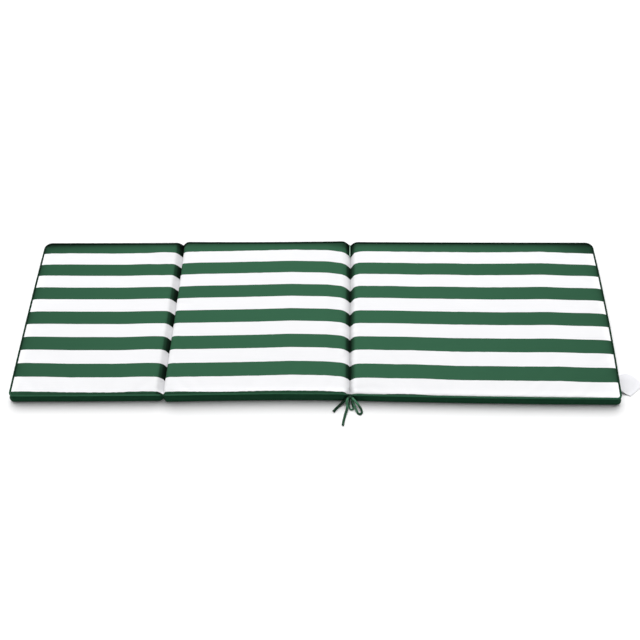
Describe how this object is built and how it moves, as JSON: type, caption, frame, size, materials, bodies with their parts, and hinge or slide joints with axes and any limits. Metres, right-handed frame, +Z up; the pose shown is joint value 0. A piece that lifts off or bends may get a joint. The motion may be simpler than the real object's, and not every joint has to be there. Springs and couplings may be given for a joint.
{
  "type": "sun lounger cushion",
  "caption": "Long folding lounger cushion in wide stripes, with piping round its top edge, sewn channels where it folds, tie cords and a sewn-in label.",
  "frame": {"origin": "on the flat underside, midway along the nominal length and width", "axes": "+X along the length towards the label's end, +Y across the width towards the back edge, +Z up from the surface it lies on"},
  "size_m": [1.9822, 0.6943, 0.062],
  "materials": {
    "striped_cloth": "matt woven cloth in lengthwise stripes of dark green and white, the boxing and underside plain dark green",
    "piping_cloth": "matt dark green cloth over a round cord",
    "tie_cord": "matt dark green sewn cord",
    "label_tape": "smooth white tape, left bare"
  },
  "bodies": {
    "root": {"cushion": "striped_cloth", "piping": "piping_cloth", "tie_knot": "tie_cord", "tie_tail_left": "tie_cord", "tie_tail_front": "tie_cord", "tie_loop_right": "tie_cord", "tie_loop_middle": "tie_cord", "tie_back": "tie_cord", "care_label": "label_tape"}
  },
  "joints": []
}
